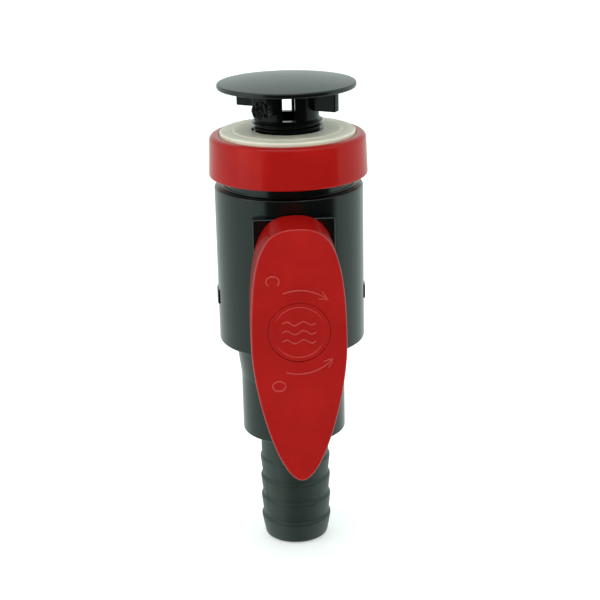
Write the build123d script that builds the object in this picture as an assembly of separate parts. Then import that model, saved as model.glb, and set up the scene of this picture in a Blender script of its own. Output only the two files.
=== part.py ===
from build123d import *
import os
from math import cos, radians, sin, sqrt

# Quarter-turn plastic seacock: strainer, hull gasket, ring nut, ball valve, end connector and hose barb.
# Millimetres. The origin is the centre of the gasket's sealing face, where the hull rests.
# +Z runs up the flow line towards the strainer, and the handle is on the -Y side.

# ---------------------------------------------------------------- fits and clearances
TOUCH_GAP = 0.02         # between pieces that only rest against each other
RUN_GAP = 0.05           # radial, shafts that turn in their bores
THREAD_GAP = 0.20        # radial, plain bores that stand for internal threads
MOULD_GAP = 0.15         # all round, loose pieces in their pockets
STOP_GAP = 0.4           # degrees between the handle's finger and its stops
RING_SIDE_GAP = 0.15     # beside a seal ring in its groove
SINK = 0.5               # how far two shapes of one moulding run into each other
PAST = 1.0               # how far a cutter runs past the face it opens

# ---------------------------------------------------------------- flow line
FLOW_R = 10.0            # straight passage through the ball, the connector and the barb

# ---------------------------------------------------------------- strainer
CAP_R = 25.9
CAP_UNDERSIDE_Z = 15.5
CAP_RIM_T = 1.8
CAP_DOME_RISE = 2.3
CAP_EDGE_R = 0.6
STRAINER_NECK_R = 12.0
STRAINER_BORE_R = 9.2
SPIGOT_TOP_SINK = 1.0    # how far the neck runs down into the threaded spigot
WINDOW_W = 4.6
WINDOW_LOW_Z = 4.5
WINDOW_TOP_Z = 14.3
WING_END_R = 20.7
WING_T = 3.4
WING_LOW_Z = 7.5
WING_FIRST_DEG = -31.0
WING_EDGE = 0.3
GATE_WING_T = 6.2
GATE_R = 3.2
GATE_Z = 10.2
GATE_PROUD = 0.9
SPIGOT_THREAD_R = 13.22  # G 3/4 external thread, 26.44 across the crests
SPIGOT_PITCH = 1.814     # 14 threads to the inch
SPIGOT_THREAD_H = 1.16
SPIGOT_THREAD_TOP_Z = 3.9
SPIGOT_THREAD_L = 22.4
SPIGOT_TIP_R = 11.9
SPIGOT_TIP_L = 8.5
SPIGOT_RING_UP = 2.55    # from the tip's end to the middle of its ring groove
SPIGOT_TIP_GAP = 0.3     # radial, between the tip and its bore

# ---------------------------------------------------------------- gasket and ring nut
GASKET_R = 25.4
GASKET_T = 4.0
GASKET_HOLE_GAP = 0.55   # radial, round the spigot's crests
GASKET_STEP_R = 20.3
GASKET_STEP = 0.35
GASKET_EDGE_R = 1.0
GASKET_PROUD = 1.6       # how far the gasket stands above the nut
NUT_WALL = 5.0           # from the neck's crests to the nut's outside at its lower edge
NUT_DRAFT = 0.6          # how much narrower the nut is at its top
NUT_H = 15.5
NUT_WEB_T = 2.0
NUT_EDGE_R = 2.6
NUT_LIP_EDGE_R = 0.6
NUT_LOW_EDGE_R = 0.8
NUT_DROP = 3.5           # how far the nut can be screwed down from where it is shown
NECK_TO_WEB_GAP = 0.5    # left between the neck and the nut's web at the end of that travel
STRAINER_DROP = 3.0      # how far the strainer can be screwed further in

# ---------------------------------------------------------------- body
NECK_R = 24.9            # crest radius of the ring nut's thread
NECK_PITCH = 3.0
NECK_THREAD_H = 1.2
NECK_PLAIN_L = 4.6       # smooth stretch above the shoulder
NUT_TO_SHOULDER = 3.9
BODY_R = 28.0
BODY_H = 60.4
BODY_EDGE = 0.5
BOSS_HALF_W = 15.0
BOSS_PROUD = 0.5         # how far the boss's flat face stands out past the barrel
BOSS_BELOW_SHOULDER = 6.5
BOSS_EDGE_R = 0.6
SIDE_PAD_H = 5.4
SIDE_PAD_W = 8.0
SIDE_PAD_PROUD = 0.5
PIVOT_BELOW_SHOULDER = 42.8
PASSAGE_BELOW_TIP = 0.5

# ---------------------------------------------------------------- thread ridges, as shares of the pitch
RIDGE_FLANK = 0.36
RIDGE_LAND = 0.16

# ---------------------------------------------------------------- ball and seats
BALL_R = 16.5
CHAMBER_GAP = 0.6
SEAT_W = 4.6             # from the passage to the seat's outside
SEAT_BORE_GAP = 0.4
SEAT_T = 5.2
SEAT_LIP = 1.676         # of the seat, behind the edge of the ball's bore
SEAT_POCKET_GAP = 0.77   # between the ball and the edge of a seat's pocket
SEAT_RING_OUT = 2.6      # from the passage to the centre line of the ring behind a seat
SEAT_RING_D = 1.8

# ---------------------------------------------------------------- stem
STEM_R = 6.0
STEM_FLANGE_STEP = 2.0   # how far the flange stands out past the stem
STEM_FLANGE_T = 2.4
FLANGE_TO_BALL = 0.7
STEM_WASHER_T = 0.8
TANG_W = 6.0
TANG_L = 12.0
TANG_DEPTH = 4.2
TANG_TRIM = 0.5          # how far the tang's ends stay inside the flange
SLOT_FLOOR_GAP = 0.2
STEM_RING_D = 1.5
STEM_RING_SPACING = 3.2
STEM_SQUARE = 8.0
STEM_SQUARE_TRIM = 0.6   # how far the square's corners stay inside the stem
STEM_SHOULDER_PROUD = 0.7 # how far the round stem stands out past the boss
STEM_SQUARE_L = 11.8

# ---------------------------------------------------------------- handle
HANDLE_BACK_GAP = 0.9    # between the boss and the handle
HANDLE_DEPTH = 19.1
HANDLE_TOP = 38.0        # above the pivot
HANDLE_TIP = 57.8        # below the pivot
HANDLE_HALF_W = 17.2
HANDLE_TOP_HALF_W = 11.6 # where the top edge meets the flanks, before rounding
HANDLE_TOP_CROWN = 3.4
HANDLE_TOP_CORNER_R = 8.0
HANDLE_TIP_HALF_W = 5.2
HANDLE_TIP_CROWN = 3.3
HANDLE_WALL = 2.6
HANDLE_TIP_DEPTH = 9.5
HANDLE_TAPER_START = 8.0 # above the pivot, where the back edge starts to slope
HANDLE_CROWN_R = 220.0
HANDLE_EDGE_R = 1.1
HUB_R = 9.0
HUB_SET_IN = 2.2         # how far the hub stops short of the handle's back edge
HUB_FLOOR_T = 2.6
FINGER_R = 12.5
FINGER_HALF_DEG = 12.0
STOP_H = 2.6
STOP_SPAN_DEG = 46.0
FINGER_L = 6.2
HANDLE_SWING_DEG = 90.0
RIB_T = 1.8
RIB_H = 11.4             # from the inside of the handle's face
MARK_PROUD = 0.3
MARK_LINE = 0.9
MARK_ARC_R = 15.7
OPEN_ARC_DEG = (49.0, 111.0)
SHUT_ARC_DEG = (252.0, 319.0)
ARROW_HALF_W = 1.7
ARROW_DEG = 11.0
LETTER_R = (2.7, 2.3)
LETTER_O_AT = (-7.6, -20.2)
LETTER_C_AT = (-9.0, 19.2)
LETTER_GAP = 2.6         # width of the opening in the C

# ---------------------------------------------------------------- handle screw and plug
SCREW_R = 2.0
SCREW_L = 13.0
SCREW_HEAD_R = 3.6
SCREW_HEAD_H = 2.2
SCREW_SLOT = (4.0, 1.0)
SCREW_SLOT_DEPTH = 1.2
SCREW_TIP_GAP = 0.5
WASHER_R = 5.0
WASHER_T = 0.8
PLUG_R = 11.0
PLUG_T = 1.4
PLUG_SKIRT_T = 1.0
PLUG_EDGE_R = 0.3
PLUG_BELOW_FACE = 0.1
PLUG_FLOOR_GAP = 0.2
PLUG_NOTCH = (3.0, 1.2, 1.6)

# ---------------------------------------------------------------- end connector and hose barb
END_WALL = 4.4           # from the ball's chamber to the thread's crests
END_THREAD_H = 1.2
END_PITCH = 2.0
END_TO_STEM_GAP = 0.5    # between the connector's top and the stem's flange
END_LAND = 4.2           # smooth stretch with the ring groove
END_RING_D = 1.8
END_RING_BELOW = 0.3     # how far the ring sits below the middle of its land
END_EDGE = 0.4
END_FLARE_STEP = 0.5     # how far the flare stands out past the thread
END_FLARE_L = 15.0
SOCKET_WALL = 4.1
END_L = 38.0
SOCKET_R = 16.0
SOCKET_DEPTH = 21.0
SOCKET_PLUG_EDGE = 0.6
BARB_TOP_R = 13.3
BARB_VALLEY_R = 13.1
BARB_CREST_R = 13.8
BARB_CREST_LAND = 0.6
BARB_RISE = 0.8
BARB_PITCH = 8.45
BARB_COUNT = 4
BARB_PLAIN_L = 12.6
BARB_END_L = 8.4
BARB_END_R = 12.3
BARB_END_EDGE_R = 1.0

# ---------------------------------------------------------------- levels that follow from the sizes above
nut_top_z = -GASKET_PROUD
nut_low_z = nut_top_z - NUT_H
shoulder_z = nut_low_z - NUT_TO_SHOULDER
neck_top_z = -(GASKET_T + NUT_WEB_T + NUT_DROP + NECK_TO_WEB_GAP)
body_low_z = shoulder_z - BODY_H
pivot_z = shoulder_z - PIVOT_BELOW_SHOULDER
end_low_z = body_low_z - END_L
spigot_thread_low_z = SPIGOT_THREAD_TOP_Z - SPIGOT_THREAD_L
spigot_tip_z = spigot_thread_low_z - SPIGOT_TIP_L
chamber_r = BALL_R + CHAMBER_GAP
tip_bore_r = SPIGOT_TIP_R + SPIGOT_TIP_GAP
spigot_ring_z = spigot_tip_z + SPIGOT_RING_UP
seat_r = FLOW_R + SEAT_W
seat_ring_r = FLOW_R + SEAT_RING_OUT
seat_back = sqrt(BALL_R ** 2 - FLOW_R ** 2) + SEAT_LIP
chamber_half_h = sqrt(BALL_R ** 2 - (seat_r - SEAT_POCKET_GAP) ** 2)
nut_low_r = NECK_R + NUT_WALL
nut_top_r = nut_low_r - NUT_DRAFT
end_thread_r = chamber_r + END_WALL
end_flare_r = end_thread_r + END_FLARE_STEP
end_r = SOCKET_R + SOCKET_WALL
end_bore_r = end_thread_r + MOULD_GAP
stem_flange_r = STEM_R + STEM_FLANGE_STEP
end_top_z = pivot_z - stem_flange_r - END_TO_STEM_GAP
stem_bore_r = STEM_R + RUN_GAP
boss_y = BODY_R + BOSS_PROUD
stem_flange_y = BALL_R + FLANGE_TO_BALL
stem_shoulder_y = boss_y + STEM_SHOULDER_PROUD
stem_end_y = stem_shoulder_y + STEM_SQUARE_L
handle_back_y = boss_y + HANDLE_BACK_GAP
handle_face_y = handle_back_y + HANDLE_DEPTH
hub_inner_y = handle_back_y + HUB_SET_IN
stem_washer_y = stem_flange_y + STEM_FLANGE_T + STEM_WASHER_T
plug_pocket_y = stem_end_y + HUB_FLOOR_T
screw_seat_y = plug_pocket_y + WASHER_T


# ---------------------------------------------------------------- helpers
def turned(points):
    """Solid of revolution about the flow line from (radius, z) points."""
    return revolve(Plane.XZ * make_face(Polyline(*points, close=True)), Axis.Z)


def disc(radius, low_z, high_z):
    """Cylinder on the flow line between two heights."""
    return Pos(0, 0, (low_z + high_z) / 2) * Cylinder(radius, high_z - low_z)


def cross_bar(radius, inner_y, outer_y):
    """Cylinder on the stem line, between two distances in front of the flow line."""
    middle = Pos(0, -(inner_y + outer_y) / 2, pivot_z)
    return middle * Rot(90, 0, 0) * Cylinder(radius, outer_y - inner_y)


def cross_block(width, height, inner_y, outer_y):
    """Block on the stem line, between two distances in front of the flow line."""
    return Pos(0, -(inner_y + outer_y) / 2, pivot_z) * Box(width, outer_y - inner_y, height)


def on_circle(radius, degrees):
    """Flat point at a radius and an angle, counted from +x towards +y."""
    return (radius * cos(radians(degrees)), radius * sin(radians(degrees)))


def ring_part(inner_r, outer_r, start_deg, end_deg):
    """Flat face: the part of a ring between two angles."""
    middle_deg = (start_deg + end_deg) / 2
    outer = [on_circle(outer_r, angle) for angle in (start_deg, middle_deg, end_deg)]
    inner = [on_circle(inner_r, angle) for angle in (end_deg, middle_deg, start_deg)]
    edges = [ThreePointArc(*outer), Line(outer[2], inner[0]), ThreePointArc(*inner), Line(inner[2], outer[0])]
    return make_face(Curve() + edges)


def cross_sector(inner_r, outer_r, start_deg, end_deg, inner_y, outer_y):
    """Part of a ring round the stem line. Angles run from +X towards +Z, seen from the front."""
    face = front_plane(inner_y) * ring_part(inner_r, outer_r, start_deg, end_deg)
    return extrude(face, outer_y - inner_y)


def front_plane(distance_y):
    """Sketch plane in front of the flow line, facing forward: x to the right, y up from the pivot."""
    return Plane(origin=(0, -distance_y, pivot_z), x_dir=(1, 0, 0), z_dir=(0, -1, 0))


def thread_points(crest_r, depth, pitch, top_z, length):
    """(radius, z) points of a stack of thread ridges, from the top down."""
    points = []
    crest_from = RIDGE_FLANK * pitch
    crest_to = crest_from + RIDGE_LAND * pitch
    for turn in range(int(length / pitch)):
        ridge_top = top_z - turn * pitch
        points += [(crest_r - depth, ridge_top), (crest_r, ridge_top - crest_from),
                   (crest_r, ridge_top - crest_to), (crest_r - depth, ridge_top - crest_from - crest_to)]
    return points


def circles(shape, radius, low_z=-1e3):
    """Round edges about the flow line that have this radius and lie above a height."""
    return [edge for edge in shape.edges().filter_by(GeomType.CIRCLE)
            if abs(edge.radius - radius) < TOUCH_GAP and edge.center().Z > low_z]


def ring_groove(floor_r, outer_r, middle_z, ring_d):
    """What is cut away for a seal ring round the flow line."""
    half_h = ring_d / 2 + RING_SIDE_GAP
    return disc(outer_r + PAST, middle_z - half_h, middle_z + half_h) - disc(
        floor_r, middle_z - half_h - PAST, middle_z + half_h + PAST)


def mirrored_below(shape, direction):
    """Shape drawn above the pivot and moved there (+1), or its mirror image below (-1)."""
    return Pos(0, 0, pivot_z) * (shape if direction > 0 else mirror(shape, Plane.XY))


# ---------------------------------------------------------------- strainer
def strainer_dome():
    """Domed cap with rounded rim."""
    rim_top_z = CAP_UNDERSIDE_Z + CAP_RIM_T
    dome_r = (CAP_R ** 2 + CAP_DOME_RISE ** 2) / (2 * CAP_DOME_RISE)
    half_drop = dome_r - sqrt(dome_r ** 2 - (CAP_R / 2) ** 2)
    rim = (CAP_R, rim_top_z)
    top = (0, rim_top_z + CAP_DOME_RISE)
    outline = [Polyline((0, CAP_UNDERSIDE_Z), (CAP_R, CAP_UNDERSIDE_Z), rim),
               ThreePointArc(rim, (CAP_R / 2, top[1] - half_drop), top), Line(top, (0, CAP_UNDERSIDE_Z))]
    cap = revolve(Plane.XZ * make_face(Curve() + outline), Axis.Z)
    return fillet(circles(cap, CAP_R), CAP_EDGE_R)


def spigot():
    """Solid threaded spigot with its smooth tip."""
    root_r = SPIGOT_THREAD_R - SPIGOT_THREAD_H
    ridges = thread_points(SPIGOT_THREAD_R, SPIGOT_THREAD_H, SPIGOT_PITCH, SPIGOT_THREAD_TOP_Z,
                           SPIGOT_THREAD_L)
    threads = turned([(0, SPIGOT_THREAD_TOP_Z), *ridges, (root_r, spigot_thread_low_z),
                      (0, spigot_thread_low_z)])
    return threads + disc(SPIGOT_TIP_R, spigot_tip_z, spigot_thread_low_z + SINK)


def strainer_wing(thickness, has_gate):
    """Wing under the cap, reaching along +X. One of them carries the stub of the moulding gate."""
    inner_r = STRAINER_NECK_R / 2
    wing_top_z = CAP_UNDERSIDE_Z + SINK
    middle = Pos((WING_END_R + inner_r) / 2, 0, (WING_LOW_Z + wing_top_z) / 2)
    wing = middle * Box(WING_END_R - inner_r, thickness, wing_top_z - WING_LOW_Z)
    wing = chamfer(wing.edges().group_by(Axis.Z)[0], WING_EDGE)
    if has_gate:
        stub_l = WING_END_R + GATE_PROUD - STRAINER_NECK_R
        wing += Pos(STRAINER_NECK_R + stub_l / 2, 0, GATE_Z) * Rot(0, 90, 0) * Cylinder(GATE_R, stub_l)
    return wing


def make_strainer_cap():
    """Domed cap, windowed neck, wings and threaded spigot in one moulding."""
    neck = disc(STRAINER_NECK_R, SPIGOT_THREAD_TOP_Z - SPIGOT_TOP_SINK, CAP_UNDERSIDE_Z + SINK)
    body = strainer_dome() + neck + spigot()
    for quarter in range(4):
        has_gate = quarter == 3
        wing = strainer_wing(GATE_WING_T if has_gate else WING_T, has_gate)
        body += Rot(0, 0, WING_FIRST_DEG + 90 * quarter) * wing
    body -= disc(STRAINER_BORE_R, spigot_tip_z - PAST, CAP_UNDERSIDE_Z)
    window_middle = Pos(STRAINER_NECK_R, 0, (WINDOW_TOP_Z + WINDOW_LOW_Z) / 2)
    window = window_middle * Box(STRAINER_NECK_R, WINDOW_W, WINDOW_TOP_Z - WINDOW_LOW_Z)
    for quarter in range(4):
        body -= Rot(0, 0, 90 * quarter) * window
    return body - ring_groove(spigot_groove_r(), SPIGOT_TIP_R, spigot_ring_z, spigot_ring_d())


def spigot_groove_r():
    """Floor of the ring groove near the spigot's tip, half way through its wall."""
    return (SPIGOT_TIP_R + STRAINER_BORE_R) / 2 + RING_SIDE_GAP


def spigot_ring_d():
    """Section of the spigot's seal ring, which fills the space from its groove to the bore."""
    return tip_bore_r - spigot_groove_r() - 2 * TOUCH_GAP


def make_spigot_oring():
    """Seal ring in the groove near the spigot's tip."""
    return Pos(0, 0, spigot_ring_z) * Torus((tip_bore_r + spigot_groove_r()) / 2, spigot_ring_d() / 2)


# ---------------------------------------------------------------- gasket and ring nut
def make_hull_gasket():
    """Soft washer with a shallow step round its sealing face."""
    hole_r = SPIGOT_THREAD_R + GASKET_HOLE_GAP
    washer = turned([(hole_r, 0), (GASKET_STEP_R, 0), (GASKET_STEP_R + GASKET_STEP, -GASKET_STEP),
                     (GASKET_R, -GASKET_STEP), (GASKET_R, -GASKET_T), (hole_r, -GASKET_T)])
    return fillet(circles(washer, GASKET_R, -GASKET_T / 2), GASKET_EDGE_R)


def make_ring_nut():
    """Smooth clamp nut: a recess for the gasket above, the body's neck below."""
    lip_r = GASKET_R + MOULD_GAP
    hole_r = SPIGOT_THREAD_R + GASKET_HOLE_GAP
    nut = turned([(0, nut_top_z), (nut_top_r, nut_top_z), (nut_low_r, nut_low_z), (0, nut_low_z)])
    nut = fillet(circles(nut, nut_top_r), NUT_EDGE_R)
    nut = fillet(circles(nut, nut_low_r), NUT_LOW_EDGE_R)
    nut -= disc(lip_r, -GASKET_T, nut_top_z + PAST)
    nut = fillet(circles(nut, lip_r, nut_top_z - GASKET_T / 4), NUT_LIP_EDGE_R)
    nut -= disc(hole_r, nut_low_z - PAST, 0)
    return nut - disc(NECK_R + THREAD_GAP, nut_low_z - PAST, -GASKET_T - NUT_WEB_T)


# ---------------------------------------------------------------- body
def make_valve_body():
    """Body moulding with threaded neck, stem boss, handle stops and the ball's chamber."""
    thread_low_z = shoulder_z + NECK_PLAIN_L
    ridges = thread_points(NECK_R, NECK_THREAD_H, NECK_PITCH, neck_top_z, neck_top_z - thread_low_z)
    neck = turned([(0, neck_top_z), *ridges, (NECK_R - NECK_THREAD_H, thread_low_z),
                   (NECK_R, thread_low_z - NECK_THREAD_H), (NECK_R, shoulder_z - SINK),
                   (0, shoulder_z - SINK)])
    barrel = chamfer(disc(BODY_R, body_low_z, shoulder_z).edges().filter_by(GeomType.CIRCLE), BODY_EDGE)
    boss_top_z = shoulder_z - BOSS_BELOW_SHOULDER
    boss_h = boss_top_z - body_low_z - BODY_EDGE
    boss = Pos(0, -boss_y / 2, boss_top_z - boss_h / 2) * Box(2 * BOSS_HALF_W, boss_y, boss_h)
    boss = fillet(boss.edges().group_by(Axis.Y)[0], BOSS_EDGE_R)
    body = neck + barrel + boss
    for side in (-1, 1):
        pad_ring = disc(BODY_R + SIDE_PAD_PROUD, pivot_z - SIDE_PAD_H / 2, pivot_z + SIDE_PAD_H / 2)
        body += pad_ring & Pos(side * BODY_R, 0, pivot_z) * Box(BODY_R, SIDE_PAD_W, SIDE_PAD_H)
    for start in (90 + FINGER_HALF_DEG + STOP_GAP,
                  90 - HANDLE_SWING_DEG - FINGER_HALF_DEG - STOP_GAP - STOP_SPAN_DEG):
        body += cross_sector(HUB_R + SINK, FINGER_R, start, start + STOP_SPAN_DEG, boss_y - SINK,
                             boss_y + STOP_H)
    body -= flow_cuts_above() + ball_room()
    body -= cross_bar(stem_bore_r, 0, boss_y + PAST)
    return body - cross_bar(stem_flange_r + RUN_GAP, 0, stem_washer_y)


def flow_cuts_above():
    """Spigot socket, its smooth sealing bore and the passage down to the upper seat."""
    socket_low_z = spigot_thread_low_z - STRAINER_DROP - PASSAGE_BELOW_TIP
    tip_low_z = spigot_tip_z - STRAINER_DROP - PASSAGE_BELOW_TIP
    return (disc(SPIGOT_THREAD_R + THREAD_GAP, socket_low_z, neck_top_z + PAST)
            + disc(tip_bore_r, tip_low_z, socket_low_z + SINK)
            + disc(FLOW_R, pivot_z, tip_low_z + SINK))


def seat_pocket(direction):
    """Room for a seat and the ring behind it, above (+1) or below (-1) the ball."""
    ring_back = seat_back + SEAT_RING_D + TOUCH_GAP
    half_w = SEAT_RING_D / 2 + RING_SIDE_GAP
    pocket = disc(seat_r + TOUCH_GAP, chamber_half_h, seat_back)
    groove = disc(seat_ring_r + half_w, seat_back - SINK, ring_back) - disc(
        seat_ring_r - half_w, seat_back - PAST, ring_back + PAST)
    return mirrored_below(pocket + groove, direction)


def ball_room():
    """Ball chamber open to the bottom, the upper seat's pocket and the end connector's bore."""
    return (disc(chamber_r, body_low_z - PAST, pivot_z + chamber_half_h)
            + seat_pocket(1)
            + disc(end_bore_r, body_low_z - PAST, end_top_z + MOULD_GAP))


# ---------------------------------------------------------------- ball, seats and rings
def make_ball():
    """Ball with its flow bore along Z and the stem's slot across it."""
    ball = Pos(0, 0, pivot_z) * Sphere(BALL_R)
    ball -= disc(FLOW_R, pivot_z - BALL_R - PAST, pivot_z + BALL_R + PAST)
    slot_floor_y = stem_flange_y - TANG_DEPTH - SLOT_FLOOR_GAP
    return ball - cross_block(4 * BALL_R, TANG_W + 2 * RUN_GAP, slot_floor_y, BALL_R + PAST)


def make_seat(direction):
    """Seat ring, hollowed to the ball, above (+1) or below (-1) it."""
    ring = disc(seat_r, seat_back - SEAT_T, seat_back) - disc(FLOW_R + SEAT_BORE_GAP, 0, seat_back + PAST)
    return mirrored_below(ring - Sphere(BALL_R + TOUCH_GAP), direction)


def make_seat_oring(direction):
    """Cushion ring behind a seat."""
    height = direction * (seat_back + SEAT_RING_D / 2 + TOUCH_GAP / 2)
    return Pos(0, 0, pivot_z + height) * Torus(seat_ring_r, (SEAT_RING_D - TOUCH_GAP) / 2)


# ---------------------------------------------------------------- stem
def stem_groove_y(index):
    """Distance of a stem ring from the flow line: 0 is the inner one."""
    middle = (stem_washer_y + boss_y) / 2
    return middle + (index - 0.5) * STEM_RING_SPACING


def make_stem():
    """Stem: tang, blow-out flange, two ring grooves and the handle's square with its screw hole."""
    tang = cross_block(TANG_L, TANG_W, stem_flange_y - TANG_DEPTH, stem_flange_y + SINK)
    tang &= cross_bar(stem_flange_r - TANG_TRIM, 0, stem_flange_y + SINK)
    stem = tang + cross_bar(stem_flange_r, stem_flange_y, stem_flange_y + STEM_FLANGE_T)
    stem += cross_bar(STEM_R, stem_flange_y, stem_shoulder_y)
    square = cross_block(STEM_SQUARE, STEM_SQUARE, stem_shoulder_y - SINK, stem_end_y)
    stem += square & cross_bar(STEM_R - STEM_SQUARE_TRIM, stem_shoulder_y - SINK, stem_end_y)
    groove_floor_r = stem_bore_r - STEM_RING_D - TOUCH_GAP
    for index in (0, 1):
        groove_from_y = stem_groove_y(index) - STEM_RING_D / 2 - RING_SIDE_GAP
        groove_to_y = stem_groove_y(index) + STEM_RING_D / 2 + RING_SIDE_GAP
        stem -= cross_bar(STEM_R + PAST, groove_from_y, groove_to_y) - cross_bar(
            groove_floor_r, groove_from_y - PAST, groove_to_y + PAST)
    return stem - cross_bar(SCREW_R + TOUCH_GAP, screw_seat_y - SCREW_L - SCREW_TIP_GAP, stem_end_y + PAST)


def make_stem_oring(index):
    """Seal ring in one of the stem's grooves."""
    centre_r = stem_bore_r - STEM_RING_D / 2 - TOUCH_GAP / 2
    return Pos(0, -stem_groove_y(index), pivot_z) * Rot(90, 0, 0) * Torus(
        centre_r, (STEM_RING_D - TOUCH_GAP) / 2)


def make_stem_thrust_washer():
    """Thin washer between the stem's flange and the body."""
    inner_y = stem_washer_y - STEM_WASHER_T + TOUCH_GAP
    return cross_bar(stem_flange_r - 2 * RUN_GAP, inner_y, stem_washer_y) - cross_bar(
        STEM_R + 2 * RUN_GAP, 0, boss_y)


# ---------------------------------------------------------------- handle
def handle_outline():
    """Teardrop outline about the pivot: blunt above, drawn out to a round tip below."""
    shoulder_y = HANDLE_TOP - HANDLE_TOP_CROWN
    toe_y = -HANDLE_TIP + HANDLE_TIP_CROWN
    left_shoulder, right_shoulder = (-HANDLE_TOP_HALF_W, shoulder_y), (HANDLE_TOP_HALF_W, shoulder_y)
    left_toe, right_toe = (-HANDLE_TIP_HALF_W, toe_y), (HANDLE_TIP_HALF_W, toe_y)
    edges = [ThreePointArc(left_shoulder, (0, HANDLE_TOP), right_shoulder),
             ThreePointArc(right_shoulder, (HANDLE_HALF_W, 0), right_toe),
             ThreePointArc(right_toe, (0, -HANDLE_TIP), left_toe),
             ThreePointArc(left_toe, (-HANDLE_HALF_W, 0), left_shoulder)]
    outline = Sketch() + make_face(Curve() + edges)
    return fillet(outline.vertices().group_by(Axis.Y)[-1], HANDLE_TOP_CORNER_R)


def handle_front(face_y):
    """Handle outline as a solid whose front is gently crowned from side to side."""
    block = extrude(front_plane(0) * handle_outline(), face_y + PAST)
    crown = Pos(0, HANDLE_CROWN_R - face_y, pivot_z) * Cylinder(HANDLE_CROWN_R, 4 * HANDLE_TIP)
    return block & crown


def handle_back_cut():
    """All that lies behind the handle's back edge, which slopes forward towards the tip."""
    tip_back_y = handle_face_y - HANDLE_TIP_DEPTH
    reach = 2 * HANDLE_TIP
    slope = (tip_back_y - handle_back_y) / (HANDLE_TIP + HANDLE_TAPER_START)
    low_y = handle_back_y + slope * (reach + HANDLE_TAPER_START)
    corners = [(reach, pivot_z + reach), (-handle_back_y, pivot_z + reach),
               (-handle_back_y, pivot_z + HANDLE_TAPER_START), (-low_y, pivot_z - reach),
               (reach, pivot_z - reach)]
    return extrude(Plane.YZ * make_face(Polyline(*corners, close=True)), 2 * reach, both=True)


def arc_arrow(start_deg, end_deg, head_at_end):
    """Curved arrow about the pivot, as a flat face."""
    band = ring_part(MARK_ARC_R - MARK_LINE / 2, MARK_ARC_R + MARK_LINE / 2, start_deg, end_deg)
    tip_deg = end_deg if head_at_end else start_deg
    turn = 1 if head_at_end else -1
    head = make_face(Polyline(on_circle(MARK_ARC_R - ARROW_HALF_W, tip_deg - turn),
                              on_circle(MARK_ARC_R + ARROW_HALF_W, tip_deg - turn),
                              on_circle(MARK_ARC_R, tip_deg + turn * ARROW_DEG), close=True))
    return band + head


def handle_marks():
    """Flat faces of the open and shut arrows and their letters, turned to read with the handle shut."""
    letter = Ellipse(*LETTER_R) - Ellipse(*[radius - MARK_LINE for radius in LETTER_R])
    opening = Pos(0, -LETTER_R[1]) * Rectangle(LETTER_GAP, LETTER_R[1] + MARK_LINE)
    return [arc_arrow(*OPEN_ARC_DEG, False), arc_arrow(*SHUT_ARC_DEG, True), Pos(*LETTER_O_AT) * letter,
            Pos(*LETTER_C_AT) * (letter - opening)]


def handle_ribs():
    """Crossed ribs behind the handle's face, before they are trimmed to its hollow."""
    rib_y = handle_face_y - HANDLE_WALL - RIB_H / 2
    middle = Pos(0, -rib_y, pivot_z)
    return middle * Box(RIB_T, RIB_H, 2 * HANDLE_TIP) + middle * Box(2 * HANDLE_HALF_W, RIB_H, RIB_T)


def make_handle():
    """Hollow lever with a hub on the stem's square, a stop finger, ribs and raised marks."""
    solid = handle_front(handle_face_y)
    front_edges = [edge for edge in solid.edges() if edge.center().Y < -handle_face_y + HANDLE_WALL]
    solid = fillet(front_edges, HANDLE_EDGE_R)
    raised_skin = handle_front(handle_face_y + MARK_PROUD)
    for mark in handle_marks():
        solid += extrude(front_plane(handle_face_y - HANDLE_WALL / 2) * mark, HANDLE_WALL) & raised_skin
    inner_outline = offset(handle_outline(), -HANDLE_WALL)
    hollow = extrude(front_plane(0) * inner_outline, handle_face_y - HANDLE_WALL)
    handle = solid - (hollow - handle_ribs()) - handle_back_cut()
    handle += cross_bar(HUB_R, hub_inner_y, handle_face_y - HANDLE_WALL)
    handle += cross_sector(HUB_R - SINK, FINGER_R, 90 - FINGER_HALF_DEG, 90 + FINGER_HALF_DEG,
                           handle_back_y, handle_back_y + FINGER_L)
    socket_w = STEM_SQUARE + 2 * TOUCH_GAP
    handle -= cross_block(socket_w, socket_w, 0, stem_end_y + TOUCH_GAP)
    handle -= cross_bar(SCREW_R + MOULD_GAP, 0, handle_face_y + PAST)
    return handle - cross_bar(PLUG_R + MOULD_GAP, plug_pocket_y, handle_face_y + PAST)


def make_handle_washer():
    """Flat washer under the handle screw's head."""
    return cross_bar(WASHER_R, plug_pocket_y, screw_seat_y) - cross_bar(SCREW_R + MOULD_GAP, 0, handle_face_y)


def make_handle_screw():
    """Pan-head screw with a cross recess."""
    head_y = screw_seat_y + SCREW_HEAD_H
    screw = cross_bar(SCREW_R, screw_seat_y - SCREW_L, screw_seat_y)
    screw += cross_bar(SCREW_HEAD_R, screw_seat_y, head_y)
    slot_l, slot_w = SCREW_SLOT
    recess = cross_block(slot_l, slot_w, head_y - SCREW_SLOT_DEPTH, head_y + PAST)
    recess += cross_block(slot_w, slot_l, head_y - SCREW_SLOT_DEPTH, head_y + PAST)
    return screw - recess


def make_handle_plug():
    """Snap-in cover over the screw: a disc with a skirt and a pry notch."""
    face_y = handle_face_y - PLUG_BELOW_FACE
    plug = cross_bar(PLUG_R, face_y - PLUG_T, face_y)
    plug = fillet(plug.edges().filter_by(GeomType.CIRCLE).group_by(Axis.Y)[0], PLUG_EDGE_R)
    skirt = cross_bar(PLUG_R, plug_pocket_y + PLUG_FLOOR_GAP, face_y - PLUG_T)
    plug += skirt - cross_bar(PLUG_R - PLUG_SKIRT_T, 0, handle_face_y)
    return plug - Pos(0, -face_y, pivot_z + PLUG_R) * Box(*PLUG_NOTCH)


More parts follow.
